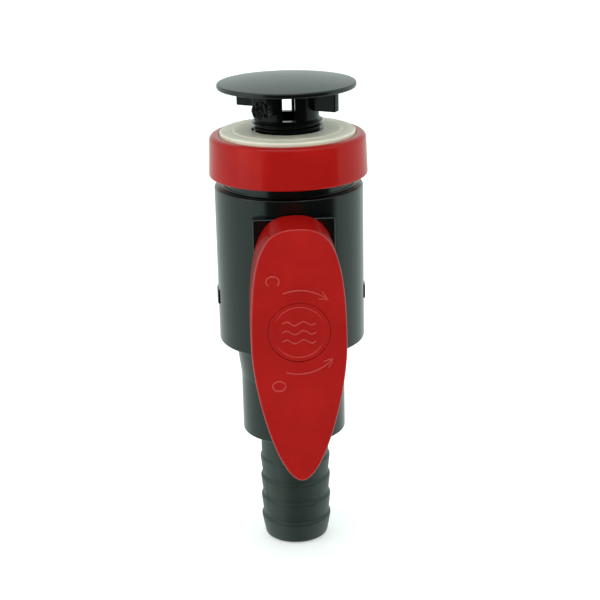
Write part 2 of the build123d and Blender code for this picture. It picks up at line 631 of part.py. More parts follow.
# ---------------------------------------------------------------- end connector and hose barb
def make_end_connector():
    """Lower socket: screws into the body, holds the lower seat and takes the hose barb."""
    land_top = body_low_z + END_LAND
    root_r = end_thread_r - END_THREAD_H
    ridges = thread_points(end_thread_r, END_THREAD_H, END_PITCH, end_top_z, end_top_z - land_top)
    shape = turned([(0, end_top_z), *ridges, (root_r, land_top), (end_thread_r, land_top - SINK),
                    (end_thread_r, body_low_z), (end_flare_r, body_low_z), (end_r, body_low_z - END_FLARE_L),
                    (end_r, end_low_z + END_EDGE), (end_r - END_EDGE, end_low_z), (0, end_low_z)])
    shape -= disc(chamber_r, pivot_z - chamber_half_h, end_top_z + PAST)
    shape -= seat_pocket(-1)
    shape -= disc(FLOW_R, end_low_z, pivot_z)
    shape -= disc(SOCKET_R, end_low_z - PAST, end_low_z + SOCKET_DEPTH)
    return shape - ring_groove(end_bore_r - END_RING_D - TOUCH_GAP, end_thread_r, end_ring_z(), END_RING_D)


def end_ring_z():
    """Height of the end connector's seal ring."""
    return body_low_z + END_LAND / 2 - END_RING_BELOW


def make_end_connector_oring():
    """Seal ring between the end connector and the body."""
    centre_r = end_bore_r - END_RING_D / 2 - TOUCH_GAP / 2
    return Pos(0, 0, end_ring_z()) * Torus(centre_r, (END_RING_D - TOUCH_GAP) / 2)


def make_hose_barb():
    """Hose tail: plug cemented in the socket, plain stretch, barbs with their steps facing up, soft end."""
    plug_top = end_low_z + SOCKET_DEPTH - MOULD_GAP
    points = [(0, plug_top), (SOCKET_R - SOCKET_PLUG_EDGE, plug_top),
              (SOCKET_R, plug_top - SOCKET_PLUG_EDGE), (SOCKET_R, end_low_z), (BARB_TOP_R, end_low_z)]
    first_crest_z = end_low_z - BARB_PLAIN_L
    for index in range(BARB_COUNT):
        crest_z = first_crest_z - index * BARB_PITCH
        valley_r = BARB_TOP_R if index == 0 else BARB_VALLEY_R
        points += [(valley_r, crest_z + BARB_RISE), (BARB_CREST_R, crest_z),
                   (BARB_CREST_R, crest_z - BARB_CREST_LAND)]
    end_z = first_crest_z - (BARB_COUNT - 1) * BARB_PITCH - BARB_END_L
    points += [(BARB_END_R, end_z), (0, end_z)]
    barb = turned(points)
    barb = fillet(barb.edges().filter_by(GeomType.CIRCLE).group_by(Axis.Z)[0], BARB_END_EDGE_R)
    return barb - disc(FLOW_R, end_z - PAST, plug_top + PAST)


NODES = {
    "strainer_cap": make_strainer_cap,
    "spigot_oring": make_spigot_oring,
    "hull_gasket": make_hull_gasket,
    "ring_nut": make_ring_nut,
    "valve_body": make_valve_body,
    "ball": make_ball,
    "upper_seat": lambda: make_seat(1),
    "lower_seat": lambda: make_seat(-1),
    "upper_seat_oring": lambda: make_seat_oring(1),
    "lower_seat_oring": lambda: make_seat_oring(-1),
    "stem": make_stem,
    "stem_oring_inner": lambda: make_stem_oring(0),
    "stem_oring_outer": lambda: make_stem_oring(1),
    "stem_thrust_washer": make_stem_thrust_washer,
    "handle": make_handle,
    "handle_washer": make_handle_washer,
    "handle_screw": make_handle_screw,
    "handle_plug": make_handle_plug,
    "end_connector": make_end_connector,
    "end_connector_oring": make_end_connector_oring,
    "hose_barb": make_hose_barb,
}

os.makedirs("parts", exist_ok=True)
for name, make in NODES.items():
    export_step(make(), f"parts/{name}.step")
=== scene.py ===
from math import atan2, cos, hypot, pi, radians, sin, sqrt, tan

import bpy
from mathutils import Euler, Matrix, Vector


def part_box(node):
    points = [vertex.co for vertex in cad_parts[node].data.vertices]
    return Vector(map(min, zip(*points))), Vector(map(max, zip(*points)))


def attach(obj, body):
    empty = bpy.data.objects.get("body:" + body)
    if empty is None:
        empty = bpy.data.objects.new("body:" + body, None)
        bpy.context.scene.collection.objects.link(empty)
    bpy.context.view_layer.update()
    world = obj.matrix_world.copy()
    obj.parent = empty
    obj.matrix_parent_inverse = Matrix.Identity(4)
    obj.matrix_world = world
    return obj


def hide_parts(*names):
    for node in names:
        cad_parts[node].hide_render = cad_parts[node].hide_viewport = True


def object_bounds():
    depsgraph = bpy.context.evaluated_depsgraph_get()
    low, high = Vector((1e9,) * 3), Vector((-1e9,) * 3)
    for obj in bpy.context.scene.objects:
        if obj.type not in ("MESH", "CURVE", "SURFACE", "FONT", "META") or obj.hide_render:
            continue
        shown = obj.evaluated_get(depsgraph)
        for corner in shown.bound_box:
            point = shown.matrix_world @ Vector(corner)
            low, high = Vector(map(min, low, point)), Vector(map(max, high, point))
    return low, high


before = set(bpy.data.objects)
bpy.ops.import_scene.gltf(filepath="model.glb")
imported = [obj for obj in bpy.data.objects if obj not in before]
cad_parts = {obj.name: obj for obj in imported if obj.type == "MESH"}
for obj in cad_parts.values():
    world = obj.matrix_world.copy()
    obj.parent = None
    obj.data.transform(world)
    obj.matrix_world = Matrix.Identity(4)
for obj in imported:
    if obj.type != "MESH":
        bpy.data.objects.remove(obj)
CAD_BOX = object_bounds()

bl_info = {
    "name": "Seacock valve",
    "version": (1, 0, 0),
    "blender": (4, 5, 0),
    "location": "3D View > Sidebar > Seacock",
    "description": "Finished pieces, materials and studio for a quarter-turn plastic seacock",
    "category": "Add Mesh",
}

MM = 0.001


# ------------------------------------------------------------------ sizes read from the fixed frame
def low(node):
    """Lowest corner of a CAD node in millimetres."""
    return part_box(node)[0] / MM


def high(node):
    """Highest corner of a CAD node in millimetres."""
    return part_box(node)[1] / MM


def radius_of(node):
    """Largest radius of a turned CAD node about the flow line, in millimetres."""
    return high(node).x


PIVOT_Z = (low("handle_plug").z + high("handle_plug").z) / 2
CAP_TOP_Z = high("strainer_cap").z
BODY_TOP_Z = high("valve_body").z
BODY_LOW_Z = low("valve_body").z
CONNECTOR_LOW_Z = low("end_connector").z
TAIL_LOW_Z = low("hose_barb").z
NUT_TOP_Z = high("ring_nut").z
NUT_LOW_Z = low("ring_nut").z
HANDLE_FACE_Y = -low("handle").y
HANDLE_BACK_Y = -high("handle").y

# ------------------------------------------------------------------ shared sizes, in millimetres
THREAD_TOP_Z = 3.9           # top of the spigot's thread
GATE_Z = 10.2                # middle of the cut gate's stub
SHOULDER_Z = BODY_TOP_Z - 10.9
NECK_THREAD_GAP = 0.2        # room between the body's neck and the clamp nut
CHAMBER_R = 17.1             # room round the ball
CHAMBER_HALF_H = 9.0
SEAT_POCKET_R = 14.62
SEAT_POCKET_REACH = 14.8     # from the pivot to the floor of a seat's pocket
MARK_PROUD = 0.3             # how far the marks stand out of the handle's face
MARK_LINE = 0.28             # radius of the arrows' lines
LETTER_LINE = 0.34           # radius of the letters' lines
ARROW_R = 15.7               # radius of the arrows about the pivot
CROWN_R = 220                # radius of the handle's slightly crowned face
COVER_GAP = 0.15             # room round the handle's cover
COVER_FLOOR_Y = 43.6         # floor of the pocket that the cover sits in


# ------------------------------------------------------------------ what a user may change
def length(name, description, default):
    """A size property, in metres, whose default is given in millimetres."""
    return bpy.props.FloatProperty(name=name, description=description, default=default * MM, unit="LENGTH",
                                   precision=5)


def colour(name, description, default):
    """A linear colour property."""
    return bpy.props.FloatVectorProperty(name=name, description=description, default=default, size=3,
                                         subtype="COLOR", min=0, max=1)


def turn(name, description, default):
    """An angle property whose default is given in degrees."""
    return bpy.props.FloatProperty(name=name, description=description, default=radians(default),
                                   subtype="ANGLE")


class SeacockSizes(bpy.types.PropertyGroup):
    """Sizes of the finished pieces."""
    cap_r: length("Cap radius", "Radius of the strainer's domed cap", 25.9)
    cap_rim: length("Cap rim", "Thickness of the cap at its rim", 1.8)
    cap_dome: length("Cap dome", "Rise of the dome above the rim", 2.3)
    neck_r: length("Strainer neck", "Outer radius of the strainer's windowed neck", 12.0)
    strainer_bore_r: length("Strainer bore", "Radius of the passage through the spigot", 9.2)
    window_w: length("Window width", "Width of each strainer window", 4.6)
    wing_end: length("Wing reach", "Distance from the flow line to the end of a wing", 20.7)
    wing_t: length("Wing thickness", "Thickness of a plain wing", 3.4)
    gate_wing_t: length("Gate wing thickness", "Thickness of the wing that carries the moulding gate", 6.2)
    gate_r: length("Gate radius", "Radius of the cut gate's stub", 3.2)
    spigot_r: length("Spigot thread", "Crest radius of the G 3/4 thread", 13.22)
    spigot_pitch: length("Spigot pitch", "Pitch of the G 3/4 thread", 1.814)
    spigot_thread_h: length("Spigot thread depth", "Depth of the G 3/4 thread", 1.16)
    gasket_step_r: length("Gasket step", "Radius of the shallow step on the gasket's face", 20.3)
    flow_r: length("Flow bore", "Radius of the straight water passage", 10.0)
    body_r: length("Body radius", "Radius of the valve body's barrel", 28.0)
    neck_thread_r: length("Body neck", "Crest radius of the clamp nut's thread", 24.9)
    boss_half_w: length("Boss half width", "Half the width of the flat stem boss", 15.0)
    boss_y: length("Boss face", "Distance from the flow line to the boss's face", 28.5)
    pad_h: length("Side pad height", "Height of the low pad on each flank of the barrel", 5.4)
    pad_w: length("Side pad width", "Width of the low pad on each flank of the barrel", 8.0)
    handle_top: length("Handle top", "Height of the handle above its pivot", 38.0)
    handle_tip: length("Handle tip", "Reach of the handle's tail below its pivot", 57.8)
    handle_half_w: length("Handle half width", "Half the width of the handle at its widest", 17.2)
    handle_wall: length("Handle wall", "Wall thickness of the hollow handle", 2.6)
    handle_edge: length("Handle edge", "Rounding of the handle's front edge", 0.7)
    handle_tip_depth: length("Handle tip depth", "Depth of the handle at its tip", 9.5)
    handle_taper: length("Handle taper", "Height above the pivot where the back starts to slope", 8.0)
    plug_r: length("Plug radius", "Radius of the cover over the handle's screw", 11.0)
    barb_crest_r: length("Barb crest", "Crest radius of the hose tail", 13.8)
    barb_pitch: length("Barb pitch", "Distance from crest to crest", 8.45)


class SeacockColours(bpy.types.PropertyGroup):
    """Linear base colours of the mouldings and the gasket."""
    body: colour("Body", "Glossy dark moulding of the body and the end connector", (0.0030, 0.0036, 0.0035))
    strainer: colour("Strainer", "Satin moulding of the strainer", (0.0024, 0.0029, 0.0028))
    barb: colour("Hose tail", "Fine matt moulding of the hose tail", (0.0140, 0.0225, 0.0185))
    red: colour("Red", "Red moulding of the handle and the clamp nut", (0.37, 0.0054, 0.0042))
    gasket: colour("Gasket", "Milky soft gasket", (0.84, 0.77, 0.65))


class SeacockStudio(bpy.types.PropertyGroup):
    """Where the camera stands, and how bright the studio is."""
    distance: length("Distance", "From the flow line to the camera, along the floor", 540)
    camera_height: length("Height", "Camera height above the gasket's face", 111)
    azimuth: turn("Azimuth", "How far the camera stands to the left of the handle's side", 3.0)
    pan: turn("Pan", "How far the camera looks to the right of the flow line", 0.35)
    pitch: turn("Pitch", "How far the camera looks down", 18.3)
    roll: turn("Roll", "Roll of the camera about its own axis", -1.25)
    lens: bpy.props.FloatProperty(name="Lens", description="Focal length in millimetres", default=88.2,
                                   unit="CAMERA")
    sky: bpy.props.FloatProperty(name="Sky", description="Strength of the white surround", default=1.0)


def sizes():
    """The sizes, in millimetres, as plain numbers by name."""
    group = bpy.context.scene.seacock_sizes
    return {name: getattr(group, name) / MM for name in SeacockSizes.__annotations__}


# ------------------------------------------------------------------ modelling helpers
def deselect_all():
    """Leaves edit mode and deselects every object."""
    if bpy.context.object and bpy.context.object.mode != "OBJECT":
        bpy.ops.object.mode_set(mode="OBJECT")
    bpy.ops.object.select_all(action="DESELECT")


def pick(piece):
    """Makes one object the only selected and active one."""
    deselect_all()
    piece.select_set(True)
    bpy.context.view_layer.objects.active = piece


def edit(piece, mode="VERT"):
    """Opens one object in edit mode with nothing selected."""
    pick(piece)
    bpy.ops.object.mode_set(mode="EDIT")
    bpy.ops.mesh.select_mode(type=mode)
    bpy.ops.mesh.select_all(action="DESELECT")


def choose(piece, kind, test):
    """Selects only the vertices, edges or polygons of a piece in edit mode that pass a test."""
    bpy.ops.mesh.select_mode(type={"vertices": "VERT", "edges": "EDGE", "polygons": "FACE"}[kind])
    bpy.ops.mesh.select_all(action="DESELECT")
    bpy.ops.object.mode_set(mode="OBJECT")
    for element in getattr(piece.data, kind):
        element.select = test(element)
    bpy.ops.object.mode_set(mode="EDIT")


def added(name):
    """Names the primitive that was just added, with its place and turn in its mesh."""
    piece = bpy.context.object
    piece.name = name
    piece.data.name = name
    bpy.ops.object.transform_apply(location=True, rotation=True, scale=True)
    return piece


def modify(piece, kind, **settings):
    """Adds a modifier, sets it and applies it."""
    pick(piece)
    modifier = piece.modifiers.new(kind.lower(), kind)
    for name, value in settings.items():
        setattr(modifier, name, value)
    bpy.ops.object.modifier_apply(modifier=modifier.name)
    return piece


def cut(piece, *cutters):
    """Takes the cutters away from a piece and removes them."""
    for cutter in cutters:
        modify(piece, "BOOLEAN", operation="DIFFERENCE", object=cutter, solver="EXACT")
        bpy.data.objects.remove(cutter)
    return piece


def weld(piece, *others):
    """Unites other shapes with a piece and removes them."""
    for other in others:
        modify(piece, "BOOLEAN", operation="UNION", object=other, solver="EXACT")
        bpy.data.objects.remove(other)
    return piece


def bisected(piece, across, place=(0, 0, 0), **settings):
    """Cuts a whole piece along a plane through a place, given in metres."""
    edit(piece)
    bpy.ops.mesh.select_all(action="SELECT")
    bpy.ops.mesh.bisect(plane_co=place, plane_no=across, **settings)
    bpy.ops.object.mode_set(mode="OBJECT")
    return piece


def joined(name, pieces):
    """Joins separate shells into one object."""
    pick(pieces[0])
    for piece in pieces[1:]:
        piece.select_set(True)
    bpy.ops.object.join()
    bpy.context.object.name = name
    bpy.context.object.data.name = name
    return bpy.context.object


def soften(piece, width, segments=3, angle=35):
    """Rounds every edge that is sharper than an angle."""
    return modify(piece, "BEVEL", width=width * MM, segments=segments, limit_method="ANGLE",
                  angle_limit=radians(angle), harden_normals=False, use_clamp_overlap=True,
                  miter_outer="MITER_ARC")


def smooth(piece, angle=32):
    """Shades a piece smooth, apart from edges sharper than an angle, with its flat faces kept flat."""
    pick(piece)
    bpy.ops.object.shade_smooth_by_angle(angle=radians(angle))
    return modify(piece, "WEIGHTED_NORMAL", keep_sharp=True)


def rounded(corners, steps=6):
    """Closed outline from (radius, z, rounding) corners: a rounding becomes a tangent arc."""
    outline = []
    count = len(corners)
    for index, (x, y, r) in enumerate(corners):
        here = Vector((x, y))
        if r == 0:
            outline.append(here)
            continue
        back = Vector(corners[index - 1][:2]) - here
        ahead = Vector(corners[(index + 1) % count][:2]) - here
        half = back.angle(ahead) / 2
        reach = min(r / tan(half), 0.49 * back.length, 0.49 * ahead.length)
        arc_r = reach * tan(half)
        centre = here + (back.normalized() + ahead.normalized()).normalized() * (arc_r / sin(half))
        start = here + back.normalized() * reach - centre
        swing = start.angle_signed(here + ahead.normalized() * reach - centre)
        outline += [centre + Matrix.Rotation(-swing * step / steps, 2) @ start for step in range(steps + 1)]
    return outline


def lathe(name, corners, segments=128, steps=6):
    """Turned piece about the flow line: an outline is drawn point by point and spun round."""
    outline = rounded(corners, steps)
    deselect_all()
    bpy.ops.mesh.primitive_plane_add(size=MM, location=(outline[0].x * MM, 0, outline[0].y * MM))
    piece = added(name)
    edit(piece)
    bpy.ops.mesh.select_all(action="SELECT")
    bpy.ops.mesh.merge(type="CENTER")
    for here, ahead in zip(outline, [*outline[1:], outline[0]]):
        step = (ahead - here) * MM
        bpy.ops.mesh.extrude_region_move(TRANSFORM_OT_translate={"value": (step.x, 0, step.y)})
    bpy.ops.mesh.select_all(action="SELECT")
    bpy.ops.mesh.remove_doubles(threshold=1e-7)
    bpy.ops.mesh.select_all(action="SELECT")
    bpy.ops.mesh.spin(steps=segments, angle=2 * pi, center=(0, 0, 0), axis=(0, 0, 1))
    bpy.ops.mesh.select_all(action="SELECT")
    bpy.ops.mesh.remove_doubles(threshold=1e-7)
    bpy.ops.mesh.delete_loose(use_verts=True, use_edges=True, use_faces=False)
    bpy.ops.mesh.select_all(action="SELECT")
    bpy.ops.mesh.normals_make_consistent(inside=False)
    bpy.ops.object.mode_set(mode="OBJECT")
    return piece


def block(name, low_corner, high_corner):
    """Box between two corners, in millimetres."""
    first, last = Vector(low_corner) * MM, Vector(high_corner) * MM
    deselect_all()
    bpy.ops.mesh.primitive_cube_add(size=1, location=(first + last) / 2, scale=last - first)
    return added(name)


def rod(name, radius, start, end, segments=64):
    """Cylinder between two points, in millimetres."""
    first, last = Vector(start) * MM, Vector(end) * MM
    turn_to = (last - first).to_track_quat("Z", "Y").to_euler()
    deselect_all()
    bpy.ops.mesh.primitive_cylinder_add(vertices=segments, radius=radius * MM, depth=(last - first).length,
                                        location=(first + last) / 2, rotation=turn_to)
    return added(name)


def turned_round(piece, degrees):
    """Turns a piece about the flow line."""
    pick(piece)
    piece.rotation_euler = Euler((0, 0, radians(degrees)))
    bpy.ops.object.transform_apply(rotation=True)
    return piece


def laid_forward(piece, z):
    """Tips a piece turned about the flow line so that its top faces the front, centred at a height."""
    pick(piece)
    piece.rotation_euler = Euler((pi / 2, 0, 0))
    piece.location = (0, 0, z * MM)
    bpy.ops.object.transform_apply(location=True, rotation=True)
    return piece


def finished(piece, body, slot, material, *nodes):
    """Gives a piece its material, lets it ride on its body and stand for its CAD nodes."""
    piece.data.materials.clear()
    piece.data.materials.append(material)
    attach(piece, body)
    if nodes:
        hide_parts(*nodes)
    return piece


# ------------------------------------------------------------------ materials
class Value:
    """A shader socket that can be used in an expression."""

    def __init__(self, recipe, socket):
        self.recipe = recipe
        self.socket = socket

    def math(self, operation, first, second):
        return self.recipe.node("ShaderNodeMath", {"operation": operation}, {0: first, 1: second})

    def __add__(self, other):
        return self.math("ADD", self, other)

    def __sub__(self, other):
        return self.math("SUBTRACT", self, other)

    def __rsub__(self, other):
        return self.math("SUBTRACT", other, self)

    def __mul__(self, other):
        return self.math("MULTIPLY", self, other)

    def clamped(self, start, end):
        """0 below start, 1 above end, smooth in between."""
        return self.recipe.node("ShaderNodeMapRange", {"interpolation_type": "SMOOTHSTEP", "clamp": True},
                                {"Value": self, "From Min": start, "From Max": end})

    __radd__ = __add__
    __rmul__ = __mul__


class Recipe:
    """A material under construction: one method makes every node."""

    def __init__(self, name):
        self.material = bpy.data.materials.new(name)
        self.material.use_nodes = True
        self.tree = self.material.node_tree
        self.surface = self.tree.nodes["Principled BSDF"]
        self.place = self.node("ShaderNodeTexCoord", {}, {}, "Object")

    def node(self, kind, settings, values, output=0):
        """Adds a node, sets it first, then fills or links its sockets."""
        made = self.tree.nodes.new(kind)
        for name, value in settings.items():
            setattr(made, name, value)
        for name, value in values.items():
            self.feed(made.inputs[name], value)
        return Value(self, made.outputs[output])

    def feed(self, socket, value):
        """Links a Value to a socket, or sets the socket to a number or a vector."""
        if isinstance(value, Value):
            self.tree.links.new(value.socket, socket)
        else:
            socket.default_value = value

    def set(self, **values):
        """Sets or links the surface's own sockets, with _ for the spaces in their names."""
        for name, value in values.items():
            self.feed(self.surface.inputs[name.replace("_", " ")], value)
        return self

    def noise(self, scale, detail=3.0, roughness=0.5, stretch=None):
        """Noise over the object, scale in features per metre."""
        place = self.place
        if stretch:
            place = self.node("ShaderNodeMapping", {}, {"Vector": place, "Scale": stretch})
        return self.node("ShaderNodeTexNoise", {}, {"Vector": place, "Scale": scale, "Detail": detail,
                                                     "Roughness": roughness})

    def blend(self, amount, first, second):
        """Mixes two colours: sockets 6 and 7 and output 2 are the Mix node's colours."""
        return self.node("ShaderNodeMix", {"data_type": "RGBA"}, {0: amount, 6: first, 7: second}, 2)

    def bump(self, height, depth, strength=1.0):
        """Surface relief, depth in metres."""
        normal = self.node("ShaderNodeBump", {}, {"Height": height, "Distance": depth, "Strength": strength})
        return self.set(Normal=normal)


def four(rgb, gain=1.0):
    """A colour socket's value from three linear numbers."""
    return (*[min(1.0, channel * gain) for channel in rgb], 1.0)


def scratches(recipe, turns, fineness):
    """Thin random hairlines, as a mask from 0 to 1."""
    place = recipe.node("ShaderNodeMapping", {}, {"Vector": recipe.place, "Rotation": turns,
                                                  "Scale": (1.0, 0.06, 0.06)})
    fine = recipe.node("ShaderNodeTexNoise", {}, {"Vector": place, "Scale": fineness, "Detail": 1.0})
    patch = recipe.noise(60.0, 2.0).clamped(0.50, 0.68)
    return fine.clamped(0.67, 0.72) * patch


def moulded(name, rgb, roughness, grain, wear, sheen=(1.0, 1.0, 1.0), gloss=0.5):
    """Moulded plastic: faint colour clouds, handling scuffs, hairlines and a slight ripple."""
    recipe = Recipe(name)
    clouds = recipe.noise(38.0, 4.0, 0.6)
    specks = recipe.noise(900.0, 2.0, 0.6).clamped(0.62, 0.76)
    rubbed = recipe.noise(120.0, 5.0, 0.65).clamped(0.54, 0.72)
    lines = scratches(recipe, (0.4, 0.9, 0.3), 900.0) + scratches(recipe, (1.1, 0.2, 1.9), 1100.0)
    base = recipe.blend(clouds.clamped(0.30, 0.72), four(rgb, 0.90), four(rgb, 1.12))
    base = recipe.blend((lines * 0.05 + specks * rubbed * 0.10) * (4 * wear), base,
                        four([channel * 1.3 + 0.02 for channel in rgb]))
    recipe.set(Base_Color=base, Roughness=roughness + rubbed * (0.12 * wear + 0.02) + lines * (0.3 * wear)
               + clouds * 0.05)
    recipe.surface.inputs["Specular Tint"].default_value = four(sheen)
    recipe.surface.inputs["Specular IOR Level"].default_value = gloss
    ripple = recipe.noise(150.0, 2.0, 0.4)
    height = ripple * 0.5 + recipe.noise(2600.0, 2.0, 0.5) * grain - lines * (0.2 * wear)
    recipe.bump(height, 0.00012, 0.5)
    return recipe.material


def red_material(gloss):
    """Glossy red moulding of the nut and the handle."""
    rgb = bpy.context.scene.seacock_colours.red
    return moulded("red_moulding", rgb, 0.15, grain=0.03, wear=0.10, gloss=gloss)


def painted_highlight_mark_material():
    """Red of the raised lines, lighter and glossier than the face round them: a painted highlight on the
    lines, not wear.
    """
    rgb = bpy.context.scene.seacock_colours.red
    # Red raised a little, green and blue five times over: painted highlight along the raised lines.
    lighter = (rgb[0] * 1.30, rgb[1] * 5, rgb[2] * 5)
    return moulded("rubbed_red_moulding", lighter, 0.18, grain=0.03, wear=0.10, gloss=0.6)


def body_material():
    """Glossy dark moulding of the body and the end connector."""
    return moulded("dark_gloss_moulding", bpy.context.scene.seacock_colours.body, 0.17, grain=0.04, wear=0.15,
                   sheen=(0.84, 1.0, 0.95))


def strainer_material(roughness, grain, gloss):
    """Dark moulding of the strainer, satin on the cap and glossier below."""
    return moulded("satin_moulding", bpy.context.scene.seacock_colours.strainer, roughness, grain=grain,
                   wear=0.15, sheen=(0.90, 1.0, 0.96), gloss=gloss)


def barb_material():
    """Fine matt moulding of the hose tail, lightly scuffed."""
    return moulded("matt_moulding", bpy.context.scene.seacock_colours.barb, 0.42, grain=0.35, wear=0.5,
                   sheen=(0.88, 1.0, 0.95))


def gasket_material():
    """Milky soft gasket with faint turning marks and dust."""
    rgb = bpy.context.scene.seacock_colours.gasket
    recipe = Recipe("milky_gasket")
    clouds = recipe.noise(55.0, 4.0, 0.6)
    dust = recipe.noise(1500.0, 2.0).clamped(0.62, 0.72)
    base = recipe.blend(clouds.clamped(0.35, 0.70), four(rgb, 0.93), four(rgb, 1.07))
    base = recipe.blend(dust * 0.25, base, four(rgb, 0.70))
    recipe.set(Base_Color=base, Roughness=0.42 + clouds * 0.16)
    recipe.surface.inputs["Subsurface Weight"].default_value = 0.35
    recipe.surface.inputs["Subsurface Radius"].default_value = (1.0, 0.9, 0.7)
    recipe.surface.inputs["Subsurface Scale"].default_value = 0.002
    recipe.bump(recipe.noise(500.0, 3.0, 0.6), 0.0001, 0.4)
    return recipe.material


def white_seat_material():
    """Waxy white seats and thrust washer."""
    return moulded("white_seat", (0.80, 0.80, 0.77), 0.38, grain=0.1, wear=0.05)


def seal_material():
    """Matt black seal rings."""
    return moulded("black_seal", (0.012, 0.012, 0.012), 0.55, grain=0.3, wear=0.1)


def steel_material():
    """Bright stainless with fine turning marks."""
    recipe = Recipe("stainless")
    lines = recipe.noise(300.0, 3.0, 0.6, stretch=(1.0, 12.0, 12.0))
    recipe.set(Base_Color=recipe.blend(lines, (0.52, 0.52, 0.51, 1), (0.66, 0.66, 0.65, 1)),
               Roughness=0.22 + lines * 0.16, Metallic=1.0)
    return recipe.bump(lines, 0.00005, 0.5).material


# ------------------------------------------------------------------ strainer
def cap_underside(s):
    """Height of the cap's underside."""
    return CAP_TOP_Z - s["cap_rim"] - s["cap_dome"]


def strainer_cap_shape(s):
    """Domed cap with a rounded rim, slightly dished beneath."""
    under = cap_underside(s)
    dish = under + 0.1
    rim_top = CAP_TOP_Z - s["cap_dome"]
    dome_r = (s["cap_r"] ** 2 + s["cap_dome"] ** 2) / (2 * s["cap_dome"])
    rings = 12
    dome = []
    for step in range(1, rings):
        r = s["cap_r"] * (1 - step / rings)
        dome.append((r, rim_top + s["cap_dome"] - dome_r + sqrt(dome_r ** 2 - r ** 2), 0))
    corners = [(0, dish, 0), (s["neck_r"], dish, 0), (s["cap_r"] - 1.6, dish, 0.3),
               (s["cap_r"] - 1.3, under, 0.3), (s["cap_r"], under, 0.6), (s["cap_r"], rim_top, 0.7), *dome,
               (0, CAP_TOP_Z, 0)]
    return lathe("strainer_cap_moulding", corners, 160)


def strainer_neck_shape(s):
    """Windowed neck and the spigot's core in one tube, closed under the cap."""
    neck_top = cap_underside(s) + 0.5
    core_r = s["spigot_r"] - s["spigot_thread_h"]
    tip_z = low("strainer_cap").z
    tip_r = 11.9
    ring_z = (low("spigot_oring").z + high("spigot_oring").z) / 2
    groove_r = -low("spigot_oring").y - 1.5
    groove_low, groove_top = ring_z - 0.93, ring_z + 0.93
    corners = [(s["strainer_bore_r"], neck_top, 0), (s["neck_r"], neck_top, 0),
               (s["neck_r"], THREAD_TOP_Z + 0.4, 0.3), (core_r + 0.55, THREAD_TOP_Z, 0.2),
               (core_r, THREAD_TOP_Z - 0.8, 0), (core_r, tip_z + 8.5, 0), (tip_r, tip_z + 8.0, 0),
               (tip_r, groove_top, 0.1), (groove_r, groove_top, 0.1), (groove_r, groove_low, 0.1),
               (tip_r, groove_low, 0.1), (tip_r, tip_z, 0.5), (s["strainer_bore_r"], tip_z, 0.3)]
    neck = lathe("strainer_neck_moulding", corners, 128)
    half = s["window_w"] / 2
    reach = s["neck_r"] + 2
    window_low, window_top = 4.5, 14.3
    cutters = [block("window_x", (-reach, -half, window_low), (reach, half, window_top)),
               block("window_y", (-half, -reach, window_low), (half, reach, window_top))]
    return soften(cut(neck, *cutters), 0.18, 2, 50)


def spigot_thread_shape(s):
    """Helical ridge of the G 3/4 thread, wound round the spigot's core by the screw modifier."""
    pitch = s["spigot_pitch"]
    turns = 12
    core_r = s["spigot_r"] - s["spigot_thread_h"]
    low_z = THREAD_TOP_Z - turns * pitch - 0.35
    middle = Vector(((core_r + s["spigot_r"]) / 2, 0, low_z)) * MM
    deselect_all()
    bpy.ops.mesh.primitive_plane_add(size=MM, location=middle, rotation=(pi / 2, 0, 0))
    ridge = added("spigot_thread")
    half_root, half_crest = 0.44 * pitch, 0.09 * pitch
    root_r = core_r - 0.3
    section = {(-1, -1): (root_r, -half_root), (1, -1): (s["spigot_r"], -half_crest),
               (1, 1): (s["spigot_r"], half_crest), (-1, 1): (root_r, half_root)}
    for vertex in ridge.data.vertices:
        corner = vertex.co - middle
        r, z = section[(1 if corner.x > 0 else -1, 1 if corner.z > 0 else -1)]
        vertex.co = Vector((r, 0, low_z + z)) * MM
    modify(ridge, "SCREW", axis="Z", angle=2 * pi, screw_offset=pitch * MM, iterations=turns, steps=72,
           render_steps=72, use_merge_vertices=False)
    edit(ridge)
    bpy.ops.mesh.select_all(action="SELECT")
    bpy.ops.mesh.remove_doubles(threshold=1e-7)
    bpy.ops.mesh.fill_holes(sides=4)
    bpy.ops.mesh.normals_make_consistent(inside=False)
    bpy.ops.object.mode_set(mode="OBJECT")
    return soften(ridge, 0.10, 2, 40)


def strainer_wings_shape(s):
    """Four wings under the cap; the front left one is thick and carries the cut gate."""
    top = cap_underside(s) + 0.2
    first_angle = -31
    wings = []
    for quarter in range(4):
        is_gate = quarter == 3
        half = (s["gate_wing_t"] if is_gate else s["wing_t"]) / 2
        wing = soften(block("wing", (s["neck_r"] - 1.2, -half, 7.5), (s["wing_end"], half, top)), 0.45, 3)
        if is_gate:
            wing = joined("wing", [wing, gate_shape(s)])
        wings.append(turned_round(wing, first_angle + 90 * quarter))
    return joined("strainer_wings", wings)


def gate_shape(s):
    """Stub left where the moulding gate was cut off, with a torn face."""
    stub = rod("gate", s["gate_r"], (s["neck_r"], 0, GATE_Z), (s["wing_end"] + 0.55, 0, GATE_Z), 40)
    edit(stub, "FACE")
    outer = (s["wing_end"] + 0.5) * MM
    choose(stub, "polygons", lambda face: face.center.x > outer)
    for _ in range(3):
        bpy.ops.mesh.inset(thickness=s["gate_r"] * MM * 0.22, depth=0)
    bpy.ops.object.mode_set(mode="OBJECT")
    modify(stub, "TRIANGULATE")
    modify(stub, "SUBSURF", levels=2, render_levels=2, subdivision_type="SIMPLE")
    for vertex in stub.data.vertices:
        if vertex.co.x > outer:
            rise = vertex.co.z - GATE_Z * MM
            angle = atan2(rise, vertex.co.y)
            radius = hypot(rise, vertex.co.y) / MM
            rough = sin(3 * angle + radius) * cos(5 * angle - 2.1 * radius)
            rough += 0.5 * sin(9 * angle + 3 * radius)
            vertex.co.x += 0.22 * rough * MM
    return stub


